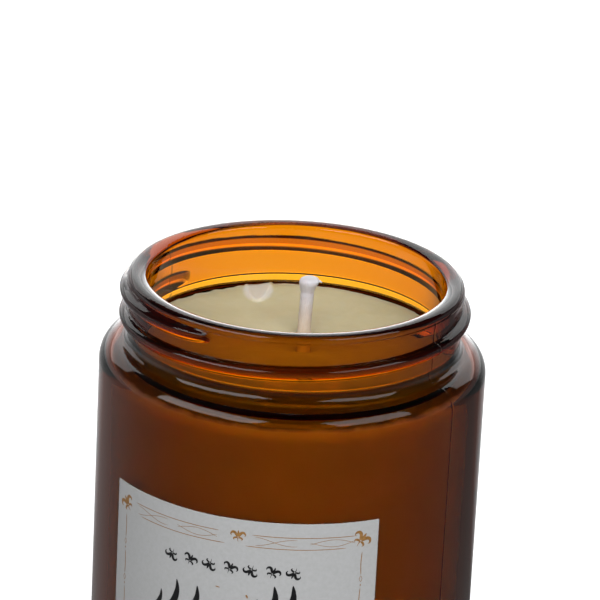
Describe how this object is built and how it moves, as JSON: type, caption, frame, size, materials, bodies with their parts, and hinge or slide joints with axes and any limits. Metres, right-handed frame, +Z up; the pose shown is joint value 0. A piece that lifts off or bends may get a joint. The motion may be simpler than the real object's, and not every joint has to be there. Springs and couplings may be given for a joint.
{
  "type": "glass container candle",
  "caption": "Amber screw-neck glass jar filled with candle wax, with a cotton wick and a printed paper label.",
  "frame": {"origin": "centre of the base, on the surface the jar stands on", "axes": "+Z up along the jar's axis, -Y towards the front where the label is, +X to the right seen from the front"},
  "size_m": [0.07, 0.0701, 0.09],
  "materials": {
    "amber_glass": "moulded amber container glass, glossy",
    "wax": "soft candle wax, satin",
    "wick_cotton": "wax-soaked braided cotton",
    "tinplate": "stamped tinplate",
    "foam_sticker": "double-sided foam pad",
    "label_paper": "satin coated label paper with a gold-brown printed frame"
  },
  "bodies": {
    "root": {"glass_jar": "amber_glass", "wax_fill": "wax", "wick": "wick_cotton", "wick_sustainer": "tinplate", "wick_sticker": "foam_sticker", "front_label": "label_paper"}
  },
  "joints": []
}
